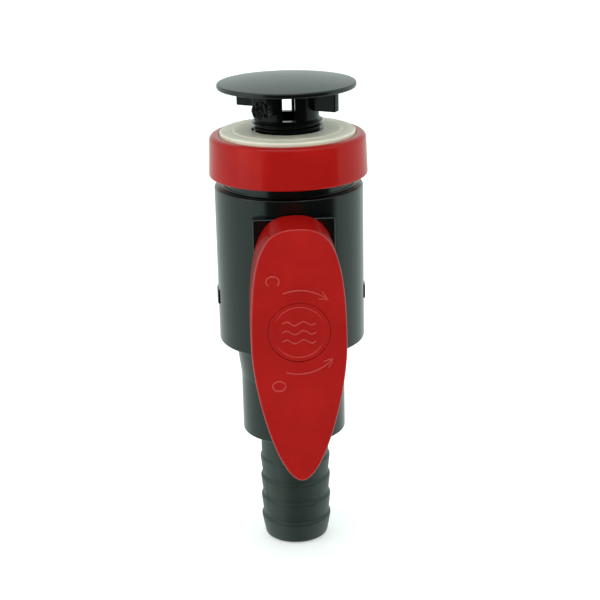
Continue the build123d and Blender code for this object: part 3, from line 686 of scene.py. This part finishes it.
class SEACOCK_OT_strainer(bpy.types.Operator):
    """Add the strainer: cap, windowed neck, wings and threaded spigot"""
    bl_idname = "seacock.strainer"
    bl_label = "Strainer"

    def execute(self, context):
        s = sizes()
        cap_top = strainer_material(0.25, 0.12, 0.5)
        below = strainer_material(0.16, 0.04, 0.18)
        finished(smooth(strainer_cap_shape(s)), "strainer", "strainer", cap_top, "strainer_cap")
        for shape in (strainer_neck_shape(s), spigot_thread_shape(s), strainer_wings_shape(s)):
            finished(smooth(shape), "strainer", "strainer", below, "strainer_cap")
        return {"FINISHED"}


# ------------------------------------------------------------------ gasket and clamp nut
class SEACOCK_OT_gasket(bpy.types.Operator):
    """Add the soft hull gasket"""
    bl_idname = "seacock.gasket"
    bl_label = "Hull gasket"

    def execute(self, context):
        s = sizes()
        outer, low_z = radius_of("hull_gasket"), low("hull_gasket").z
        hole = s["spigot_r"] + 0.12
        step = s["gasket_step_r"]
        step_z, rim_z = -0.38, -0.75
        corners = [(hole, 0, 0.2), (step - 0.4, 0, 0.1), (step, -0.12, 0.1), (step + 0.35, step_z, 0.1),
                   (outer - 0.45, step_z, 0.2), (outer, rim_z, 0.3),
                   (outer, low_z, 0.2), (hole, low_z, 0.2)]
        gasket = smooth(lathe("soft_gasket", corners, 128), 50)
        finished(gasket, "gasket", "gasket", gasket_material(), "hull_gasket")
        return {"FINISHED"}


class SEACOCK_OT_ring_nut(bpy.types.Operator):
    """Add the red clamp nut with its gasket recess and internal thread"""
    bl_idname = "seacock.ring_nut"
    bl_label = "Ring nut"

    def execute(self, context):
        s = sizes()
        recess_r = radius_of("hull_gasket") + 0.15
        top, bottom = NUT_TOP_Z, NUT_LOW_Z
        floor_z = low("hull_gasket").z
        under_floor = floor_z - 2
        outer_low = radius_of("ring_nut")
        outer_top = outer_low - 0.6
        bore = s["neck_thread_r"] + NECK_THREAD_GAP
        crest = bore - 0.14
        pitch = 3.0
        hole = s["spigot_r"] + 0.55
        thread = []
        ridge_z = bottom + 2.2
        while ridge_z + 2.4 < floor_z - 2.6:
            thread += [(bore, ridge_z, 0), (crest, ridge_z + 0.9, 0), (crest, ridge_z + 1.3, 0),
                       (bore, ridge_z + 2.2, 0)]
            ridge_z += pitch
        corners = [(recess_r, top, 0.6), (outer_top, top, 2.6), (outer_low, bottom, 0.8),
                   (bore + 0.7, bottom, 0.2), (bore, bottom + 0.8, 0.1), *thread, (bore, under_floor, 0.3),
                   (hole, under_floor, 0.2), (hole, floor_z, 0.2), (recess_r, floor_z, 0.2)]
        nut = smooth(lathe("clamp_nut", corners, 160, 8), 40)
        finished(nut, "nut", "nut", red_material(0.18), "ring_nut")
        return {"FINISHED"}


# ------------------------------------------------------------------ body
def body_barrel(s):
    """Barrel, neck and inner passage of the body in one turned shape."""
    neck = s["neck_thread_r"]
    root = neck - 1.2
    socket_r = s["spigot_r"] + 0.2
    socket_low = -22.0
    tip_r, tip_low = 12.2, -30.5
    chamber_top, pocket_top = PIVOT_Z + CHAMBER_HALF_H, PIVOT_Z + SEAT_POCKET_REACH
    connector_r, connector_top = 21.65, PIVOT_Z - 8.35
    corners = [(socket_r, BODY_TOP_Z, 0.3), (root, BODY_TOP_Z, 0.2), (neck, BODY_TOP_Z - 1.1, 0.1),
               (neck, BODY_TOP_Z - 1.6, 0.1), (root, BODY_TOP_Z - 2.7, 0.1),
               (root, SHOULDER_Z + 4.6, 0.2), (neck, SHOULDER_Z + 3.6, 0.2),
               (neck, SHOULDER_Z, 0.5), (s["body_r"], SHOULDER_Z, 0.7), (s["body_r"], BODY_LOW_Z, 0.7),
               (connector_r, BODY_LOW_Z, 0.3), (connector_r, connector_top, 0), (CHAMBER_R, connector_top, 0),
               (CHAMBER_R, chamber_top, 0), (SEAT_POCKET_R, chamber_top, 0), (SEAT_POCKET_R, pocket_top, 0),
               (s["flow_r"], pocket_top, 0), (s["flow_r"], tip_low, 0), (tip_r, tip_low, 0),
               (tip_r, socket_low, 0), (socket_r, socket_low, 0)]
    return lathe("body_moulding", corners, 192, 6)


class SEACOCK_OT_body(bpy.types.Operator):
    """Add the body: barrel, neck, stem boss, side pads and handle stops"""
    bl_idname = "seacock.body"
    bl_label = "Body"

    def execute(self, context):
        s = sizes()
        barrel = body_barrel(s)
        boss = block("boss", (-s["boss_half_w"], -s["boss_y"], BODY_LOW_Z + 0.6),
                     (s["boss_half_w"], -21.9, SHOULDER_Z - 6.5))
        soften(boss, 0.6, 4)
        weld(barrel, boss)
        cut(barrel, rod("stem_bore", 6.05, (0, 0, PIVOT_Z), (0, -40, PIVOT_Z)),
            rod("flange_room", 8.05, (0, 0, PIVOT_Z), (0, -20.4, PIVOT_Z)))
        material = body_material()
        finished(smooth(barrel, 28), "valve", "body", material, "valve_body")
        details = [self.pad(s, side) for side in (-1, 1)] + [self.stop(s, start) for start in (102.4, -58.4)]
        trim = smooth(joined("body_pads_and_stops", details))
        finished(trim, "valve", "body", material, "valve_body")
        return {"FINISHED"}

    def pad(self, s, side):
        """Low pad on the barrel's flank, level with the stem."""
        inner, outer = s["body_r"] - 1, s["body_r"] + 0.5
        bottom, top = PIVOT_Z - s["pad_h"] / 2, PIVOT_Z + s["pad_h"] / 2
        section = [(inner, bottom, 0), (outer, bottom, 0.2), (outer, top, 0.2), (inner, top, 0)]
        ring = lathe("pad", section, 192)
        for side_y in (-1, 1):
            edge_y = side_y * s["pad_w"] / 2 * MM
            bisected(ring, (0, side_y, 0), (0, edge_y, 0), use_fill=True, clear_outer=True)
        return bisected(ring, (side, 0, 0), clear_inner=True)

    def stop(self, s, start):
        """Curved lug on the boss that the handle's finger comes to rest on."""
        inner, outer, height, sweep = 9.5, 12.5, 3.1, 46.0
        section = [(inner, 0, 0.3), (outer, 0, 0.3), (outer, height, 0.4), (inner, height, 0.4)]
        sector = lathe("stop", section, 120, 3)
        for angle, keep_side in ((start, 1), (start + sweep, -1)):
            across = (-sin(radians(angle)) * keep_side, cos(radians(angle)) * keep_side, 0)
            bisected(sector, across, use_fill=True, clear_inner=True)
        pick(sector)
        sector.location = (0, 0, (s["boss_y"] - 0.5) * MM)
        bpy.ops.object.transform_apply(location=True)
        return laid_forward(sector, PIVOT_Z)


# ------------------------------------------------------------------ end connector and hose tail
class SEACOCK_OT_end_connector(bpy.types.Operator):
    """Add the flared socket under the body"""
    bl_idname = "seacock.end_connector"
    bl_label = "End connector"

    def execute(self, context):
        s = sizes()
        top = high("end_connector").z
        flare_low = BODY_LOW_Z - 15.0
        outer_r, thread_root_r, land_r = 20.1, 20.3, 21.5
        socket_r, socket_top = 16.0, CONNECTOR_LOW_Z + 21.0
        seat_floor = PIVOT_Z - SEAT_POCKET_REACH
        chamber_low = PIVOT_Z - CHAMBER_HALF_H
        corners = [(CHAMBER_R, top, 0.2), (thread_root_r, top, 0.3), (thread_root_r, BODY_LOW_Z + 4.2, 0.2),
                   (land_r, BODY_LOW_Z + 3.7, 0.2), (land_r, BODY_LOW_Z + 0.02, 0.2),
                   (land_r + 0.5, BODY_LOW_Z - 0.1, 0.3), (outer_r, flare_low, 9.0),
                   (outer_r, CONNECTOR_LOW_Z, 0.6), (socket_r, CONNECTOR_LOW_Z, 0.4),
                   (socket_r, socket_top, 0.2), (s["flow_r"], socket_top, 0.2),
                   (s["flow_r"], seat_floor, 0.2), (SEAT_POCKET_R, seat_floor, 0.1),
                   (SEAT_POCKET_R, chamber_low, 0), (CHAMBER_R, chamber_low, 0)]
        connector = smooth(lathe("end_connector_moulding", corners, 160), 28)
        finished(connector, "valve", "body", body_material(), "end_connector")
        return {"FINISHED"}


class SEACOCK_OT_hose_barb(bpy.types.Operator):
    """Add the barbed hose tail"""
    bl_idname = "seacock.hose_barb"
    bl_label = "Hose barb"

    def execute(self, context):
        s = sizes()
        top = high("hose_barb").z
        crest_r = s["barb_crest_r"]
        spigot_r, spigot_low = 15.97, CONNECTOR_LOW_Z + 0.15
        tube_r, valley_r, first_crest = 13.3, 13.05, 12.6
        corners = [(s["flow_r"], top, 0.3), (15.4, top, 0.3), (spigot_r, top - 0.6, 0.2),
                   (spigot_r, spigot_low, 0.1), (13.9, spigot_low, 0), (tube_r, CONNECTOR_LOW_Z - 0.3, 0.3)]
        for index in range(4):
            crest = CONNECTOR_LOW_Z - first_crest - index * s["barb_pitch"]
            valley = tube_r if index == 0 else valley_r
            corners += [(valley, crest + 1.0, 0.5), (crest_r, crest, 0.3), (crest_r, crest - 0.7, 0.6)]
        corners += [(12.35, TAIL_LOW_Z, 1.2), (s["flow_r"], TAIL_LOW_Z, 0.6)]
        barb = smooth(lathe("hose_tail", corners, 144, 5), 60)
        finished(barb, "valve", "barb", barb_material(), "hose_barb")
        return {"FINISHED"}


# ------------------------------------------------------------------ handle
def handle_outline_curve(s):
    """The handle's teardrop outline from four anchors, top, two flanks and tip, as a ring of edges."""
    top, tip, half_w = s["handle_top"], s["handle_tip"], s["handle_half_w"]
    flank_z = -5.5
    anchors = [((0, top), (-11.0, 0), (11.0, 0)), ((half_w, flank_z), (0, 37.9), (0, -17.9)),
               ((0, -tip), (8.2, 0), (-8.2, 0)), ((-half_w, flank_z), (0, -17.9), (0, 37.9))]
    deselect_all()
    bpy.ops.curve.primitive_bezier_circle_add(radius=MM)
    curve = bpy.context.object
    curve.data.resolution_u = 32
    for point, ((x, z), back, ahead) in zip(curve.data.splines[0].bezier_points, anchors):
        point.handle_left_type = point.handle_right_type = "FREE"
        point.co = Vector((x, 0, z)) * MM
        point.handle_left = point.co + Vector((back[0], 0, back[1])) * MM
        point.handle_right = point.co + Vector((ahead[0], 0, ahead[1])) * MM
    bpy.ops.object.convert(target="MESH")
    return added("handle_shell")


def crown(x):
    """How far the handle's face falls back at a distance from its centre line, in metres."""
    return CROWN_R * MM - sqrt((CROWN_R * MM) ** 2 - x ** 2)


def handle_slab(s, name, margin, front_y, back_y):
    """Closed slab of the handle's outline, drawn in by a margin, between two distances from the axis."""
    slab = handle_outline_curve(s)
    slab.name = name
    slab.location = (0, -front_y * MM, PIVOT_Z * MM)
    bpy.ops.object.transform_apply(location=True)
    edit(slab)
    bpy.ops.mesh.select_all(action="SELECT")
    bpy.ops.mesh.edge_face_add()
    if margin > 0:
        bpy.ops.mesh.select_mode(type="FACE")
        bpy.ops.mesh.inset(thickness=margin * MM, depth=0)
        bpy.ops.mesh.select_all(action="INVERT")
        bpy.ops.mesh.delete(type="FACE")
        bpy.ops.mesh.select_all(action="SELECT")
    bpy.ops.mesh.extrude_region_move(TRANSFORM_OT_translate={"value": (0, (front_y - back_y) * MM, 0)})
    bpy.ops.mesh.select_all(action="SELECT")
    bpy.ops.mesh.normals_make_consistent(inside=False)
    return slab


def handle_shell(s):
    """Hollow teardrop shell: rounded edge, crowned face, and a back that slopes in towards the tip."""
    face_y = HANDLE_FACE_Y - MARK_PROUD
    shell = handle_slab(s, "handle_shell", 0, face_y, HANDLE_BACK_Y)
    front_y = (0.01 - face_y) * MM
    choose(shell, "polygons", lambda face: face.center.y < front_y)
    bpy.ops.mesh.bevel(offset=s["handle_edge"] * MM, segments=6, affect="EDGES")
    for step in range(-9, 10):
        bpy.ops.mesh.select_all(action="SELECT")
        bpy.ops.mesh.bisect(plane_co=(step * 1.8 * MM, 0, 0), plane_no=(1, 0, 0))
    bpy.ops.object.mode_set(mode="OBJECT")
    for vertex in shell.data.vertices:
        if vertex.co.y < (s["handle_edge"] + 0.3 - face_y) * MM:
            vertex.co.y += crown(vertex.co.x)
    hollow = handle_slab(s, "handle_hollow", s["handle_wall"], face_y - s["handle_wall"], 20)
    return cut(shell, hollow, sloped_back(s, face_y))


def sloped_back(s, face_y):
    """Block behind the handle's tail, whose front face leans forward towards the tip."""
    block_behind = block("sloped_back", (-30, 0, -90), (30, 30, 0))
    rise = face_y - s["handle_tip_depth"] - HANDLE_BACK_Y
    pick(block_behind)
    block_behind.rotation_euler = Euler((-atan2(rise, s["handle_tip"] + s["handle_taper"]), 0, 0))
    block_behind.location = (0, -HANDLE_BACK_Y * MM, (PIVOT_Z + s["handle_taper"]) * MM)
    bpy.ops.object.transform_apply(location=True, rotation=True)
    return block_behind


def cover_pocket(s):
    """Cutter for the round pocket that the cover sits in."""
    return rod("pocket", s["plug_r"] + COVER_GAP, (0, -60, PIVOT_Z), (0, -COVER_FLOOR_Y, PIVOT_Z), 96)


def handle_inside(s):
    """Hub on the stem's square, stop finger and stiffening ribs."""
    floor_y = HANDLE_FACE_Y - s["handle_wall"] - 0.6
    rib_back_y, rib_half_t = 43.5, 0.9
    hub = rod("hub", 9.0, (0, -31.6, PIVOT_Z), (0, -floor_y, PIVOT_Z), 72)
    wall = rod("pocket_wall", 12.8, (0, -42.4, PIVOT_Z), (0, -floor_y, PIVOT_Z), 72)
    finger = block("finger", (-2.6, -35.6, PIVOT_Z + 8.4), (2.6, -29.4, PIVOT_Z + 12.5))
    ribs = [block("rib", (-rib_half_t, -floor_y, PIVOT_Z - s["handle_tip"] + 3.5),
                  (rib_half_t, -rib_back_y, PIVOT_Z + s["handle_top"] - 2)),
            block("rib", (-s["handle_half_w"] + 2, -floor_y, PIVOT_Z - rib_half_t),
                  (s["handle_half_w"] - 2, -rib_back_y, PIVOT_Z + rib_half_t))]
    parts = [soften(part, 0.35, 2) for part in (hub, wall, finger, *ribs)]
    inside = weld(parts[0], *parts[1:])
    half_square = 4.02
    square = block("square", (-half_square, -41.02, PIVOT_Z - half_square),
                   (half_square, -20, PIVOT_Z + half_square))
    screw_hole = rod("screw_hole", 2.15, (0, -60, PIVOT_Z), (0, -30, PIVOT_Z), 32)
    return cut(inside, square, screw_hole, cover_pocket(s))


def on_circle(radius, degrees, centre=(0, 0), squash=1.0):
    """Point at an angle in degrees on a circle, or on one squashed in height."""
    return centre[0] + radius * cos(radians(degrees)), centre[1] + squash * radius * sin(radians(degrees))


def mark_line(points, width, proud=MARK_PROUD):
    """Rounded line through points on the handle's face, standing a little out of it, as a mesh."""
    data = bpy.data.curves.new("mark", "CURVE")
    data.dimensions = "3D"
    spline = data.splines.new("POLY")
    spline.points.add(len(points) - 1)
    for point, (x, z) in zip(spline.points, points):
        depth = HANDLE_FACE_Y - MARK_PROUD + proud - width
        point.co = (x * MM, crown(x * MM) - depth * MM, (PIVOT_Z + z) * MM, 1)
    data.bevel_depth = width * MM
    data.bevel_resolution = 3
    data.use_fill_caps = True
    line = bpy.data.objects.new("mark", data)
    bpy.context.scene.collection.objects.link(line)
    pick(line)
    bpy.ops.object.convert(target="MESH")
    edit(bpy.context.object)
    bpy.ops.mesh.select_all(action="SELECT")
    bpy.ops.mesh.remove_doubles(threshold=0.01 * MM)
    bpy.ops.mesh.normals_make_consistent(inside=False)
    bpy.ops.object.mode_set(mode="OBJECT")
    return bpy.context.object


def handle_marks_shape():
    """Open and shut arrows with their letters, raised on the handle's face."""
    lines = []
    count = 18
    for start, end, tip in ((111, 49, -1), (252, 319, 1)):
        arc = [on_circle(ARROW_R, start + (end - start) * step / count) for step in range(count + 1)]
        lines.append(mark_line(arc, MARK_LINE))
        for side in (-1, 1):
            barb = on_circle(ARROW_R + side * 1.5, end - tip * 12)
            lines.append(mark_line([arc[-1], barb], MARK_LINE))
    letter_r, squash = 2.3, 1.9 / 2.3
    ring = [on_circle(letter_r, angle, (-7.6, -20.2), squash) for angle in range(0, 361, 10)]
    hoop = [on_circle(letter_r, angle, (-9.0, 19.2), squash) for angle in range(-50, 231, 10)]
    lines += [mark_line(ring, LETTER_LINE), mark_line(hoop, LETTER_LINE)]
    return joined("handle_marks", lines)


class SEACOCK_OT_handle(bpy.types.Operator):
    """Add the red lever handle with its raised arrows"""
    bl_idname = "seacock.handle"
    bl_label = "Handle"

    def execute(self, context):
        s = sizes()
        red = red_material(0.45)
        shell = cut(handle_shell(s), cover_pocket(s))
        finished(smooth(shell, 30), "lever", "handle", red, "handle")
        finished(smooth(handle_inside(s), 30), "lever", "handle", red, "handle")
        # The raised arrows and letters get the lighter red of a painted highlight.
        finished(smooth(handle_marks_shape(), 50), "lever", "handle", painted_highlight_mark_material(), "handle")
        return {"FINISHED"}


# ------------------------------------------------------------------ plug over the handle screw
class SEACOCK_OT_plug(bpy.types.Operator):
    """Add the round cover over the handle's screw, with plain raised waves"""
    bl_idname = "seacock.plug"
    bl_label = "Handle plug"

    def execute(self, context):
        s = sizes()
        face = HANDLE_FACE_Y - 0.42
        inside = face - 1.5
        skirt_y = COVER_FLOOR_Y + 0.2
        r = s["plug_r"]
        corners = [(0, face, 0), (r, face, 0.3), (r, skirt_y, 0.1), (r - 1, skirt_y, 0.1),
                   (r - 1, inside, 0.2), (0, inside, 0)]
        disc = laid_forward(lathe("handle_cover", corners, 128, 4), PIVOT_Z)
        waves = []
        for row in (-3.4, 0, 3.4):
            points = [(x / 5, row + 0.7 * sin(x * pi / 15)) for x in range(-30, 31)]
            waves.append(mark_line(points, 0.30, 0.18))
        rim = [on_circle(r - 1.6, angle) for angle in range(0, 361, 5)]
        waves.append(mark_line(rim, 0.22, 0.05))
        finished(smooth(disc), "lever", "handle", red_material(0.45), "handle_plug")
        waves = smooth(joined("handle_cover_waves", waves), 50)
        # The raised waves get the lighter red of a painted highlight.
        finished(waves, "lever", "handle", painted_highlight_mark_material(), "handle_plug")
        return {"FINISHED"}


# ------------------------------------------------------------------ pieces that stay as the frame has them
class SEACOCK_OT_inner_parts(bpy.types.Operator):
    """Give the ball, stem, seats, seals, screw and washers their materials"""
    bl_idname = "seacock.inner_parts"
    bl_label = "Inner parts"

    def execute(self, context):
        dark, white, black, steel = body_material(), white_seat_material(), seal_material(), steel_material()
        looks = {"ball": dark, "stem": dark, "upper_seat": white, "lower_seat": white,
                 "stem_thrust_washer": white, "handle_screw": steel, "handle_washer": steel,
                 "spigot_oring": black, "upper_seat_oring": black, "lower_seat_oring": black,
                 "stem_oring_inner": black, "stem_oring_outer": black, "end_connector_oring": black}
        for name, material in looks.items():
            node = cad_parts[name]
            node.data.materials.clear()
            node.data.materials.append(material)
        return {"FINISHED"}


# ------------------------------------------------------------------ stage
def plain_material(name, rgb, roughness, glow=0.0):
    """Even material for the floor and the studio's flag."""
    recipe = Recipe(name)
    recipe.set(Base_Color=four(rgb), Roughness=roughness, Emission_Color=four(rgb), Emission_Strength=glow)
    return recipe.material


def area_light(name, place, aim, width, height, power):
    """Soft rectangular light turned towards a point, in metres and watts."""
    deselect_all()
    bpy.ops.object.light_add(type="AREA", location=place)
    light = bpy.context.object
    light.name = name
    light.data.shape = "RECTANGLE"
    light.data.size, light.data.size_y = width, height
    light.data.energy = power
    light.rotation_euler = (Vector(aim) - Vector(place)).to_track_quat("-Z", "Y").to_euler()
    return light


class SEACOCK_OT_stage(bpy.types.Operator):
    """Add the pale floor, the studio lights and the camera"""
    bl_idname = "seacock.stage"
    bl_label = "Studio"

    def execute(self, context):
        scene = context.scene
        studio = scene.seacock_studio
        floor_z = CAD_BOX[0].z
        deselect_all()
        bpy.ops.mesh.primitive_plane_add(size=12, location=(0, 0, floor_z - 0.0002))
        floor = added("floor")
        floor.data.materials.append(plain_material("pale_floor", (0.92, 0.92, 0.92), 0.6, 0.35))
        floor.visible_glossy = False
        deselect_all()
        bpy.ops.mesh.primitive_plane_add(size=1, location=(1.1, -1.0, -0.35), rotation=(pi / 2, 0, 0))
        context.object.scale = (3.9, 2.3, 1)
        flag = added("dark_flag")
        flag.data.materials.append(plain_material("flag_cloth", (0.004, 0.004, 0.004), 0.9))
        flag.visible_camera = False
        flag.visible_shadow = False
        flag.visible_diffuse = False
        area_light("top_strip", (-0.1, -0.30, 0.9), (0, 0, -0.05), 0.9, 0.07, 1.8)
        area_light("left_softbox", (-0.95, -0.35, 0.25), (0, 0, -0.06), 0.4, 1.0, 0.8)
        scene.world = bpy.data.worlds.new("surround")
        scene.world.use_nodes = True
        surround = scene.world.node_tree.nodes["Background"]
        surround.inputs["Color"].default_value = (0.88, 1.0, 0.95, 1)
        surround.inputs["Strength"].default_value = studio.sky
        scene.view_settings.view_transform = "Standard"
        bpy.ops.object.camera_add()
        camera = context.object
        camera.name = "camera"
        camera.data.lens = studio.lens
        camera.data.clip_start = 0.01
        camera.location = (-studio.distance * sin(studio.azimuth), -studio.distance * cos(studio.azimuth),
                           studio.camera_height)
        heading = Matrix.Rotation(-studio.azimuth - studio.pan, 4, "Z")
        tilt = Matrix.Rotation(pi / 2 - studio.pitch, 4, "X")
        roll = Matrix.Rotation(studio.roll, 4, "Z")
        camera.rotation_euler = (heading @ tilt @ roll).to_euler()
        scene.camera = camera
        return {"FINISHED"}


# ------------------------------------------------------------------ panel and registration
STEPS = ("strainer", "gasket", "ring_nut", "body", "end_connector", "hose_barb", "handle", "plug",
         "inner_parts", "stage")


class SEACOCK_PT_panel(bpy.types.Panel):
    """Buttons for every piece of the seacock"""
    bl_idname = "SEACOCK_PT_panel"
    bl_label = "Seacock"
    bl_space_type = "VIEW_3D"
    bl_region_type = "UI"
    bl_category = "Seacock"

    def draw(self, context):
        for step in STEPS:
            self.layout.operator(f"seacock.{step}")
        for group in ("seacock_sizes", "seacock_colours", "seacock_studio"):
            settings = getattr(context.scene, group)
            box = self.layout.box()
            for name in type(settings).__annotations__:
                box.prop(settings, name)


CLASSES = (SeacockSizes, SeacockColours, SeacockStudio, SEACOCK_OT_strainer, SEACOCK_OT_gasket,
           SEACOCK_OT_ring_nut, SEACOCK_OT_body, SEACOCK_OT_end_connector, SEACOCK_OT_hose_barb,
           SEACOCK_OT_handle, SEACOCK_OT_plug, SEACOCK_OT_inner_parts, SEACOCK_OT_stage, SEACOCK_PT_panel)


def register():
    """Registers the classes and hangs the settings on the scene."""
    for each in CLASSES:
        bpy.utils.register_class(each)
    bpy.types.Scene.seacock_sizes = bpy.props.PointerProperty(type=SeacockSizes)
    bpy.types.Scene.seacock_colours = bpy.props.PointerProperty(type=SeacockColours)
    bpy.types.Scene.seacock_studio = bpy.props.PointerProperty(type=SeacockStudio)


def unregister():
    """Removes the settings and the classes."""
    del bpy.types.Scene.seacock_studio
    del bpy.types.Scene.seacock_colours
    del bpy.types.Scene.seacock_sizes
    for each in reversed(CLASSES):
        bpy.utils.unregister_class(each)


def main():
    register()
    for step in STEPS:
        getattr(bpy.ops.seacock, step)()


if __name__ == "__main__":
    main()
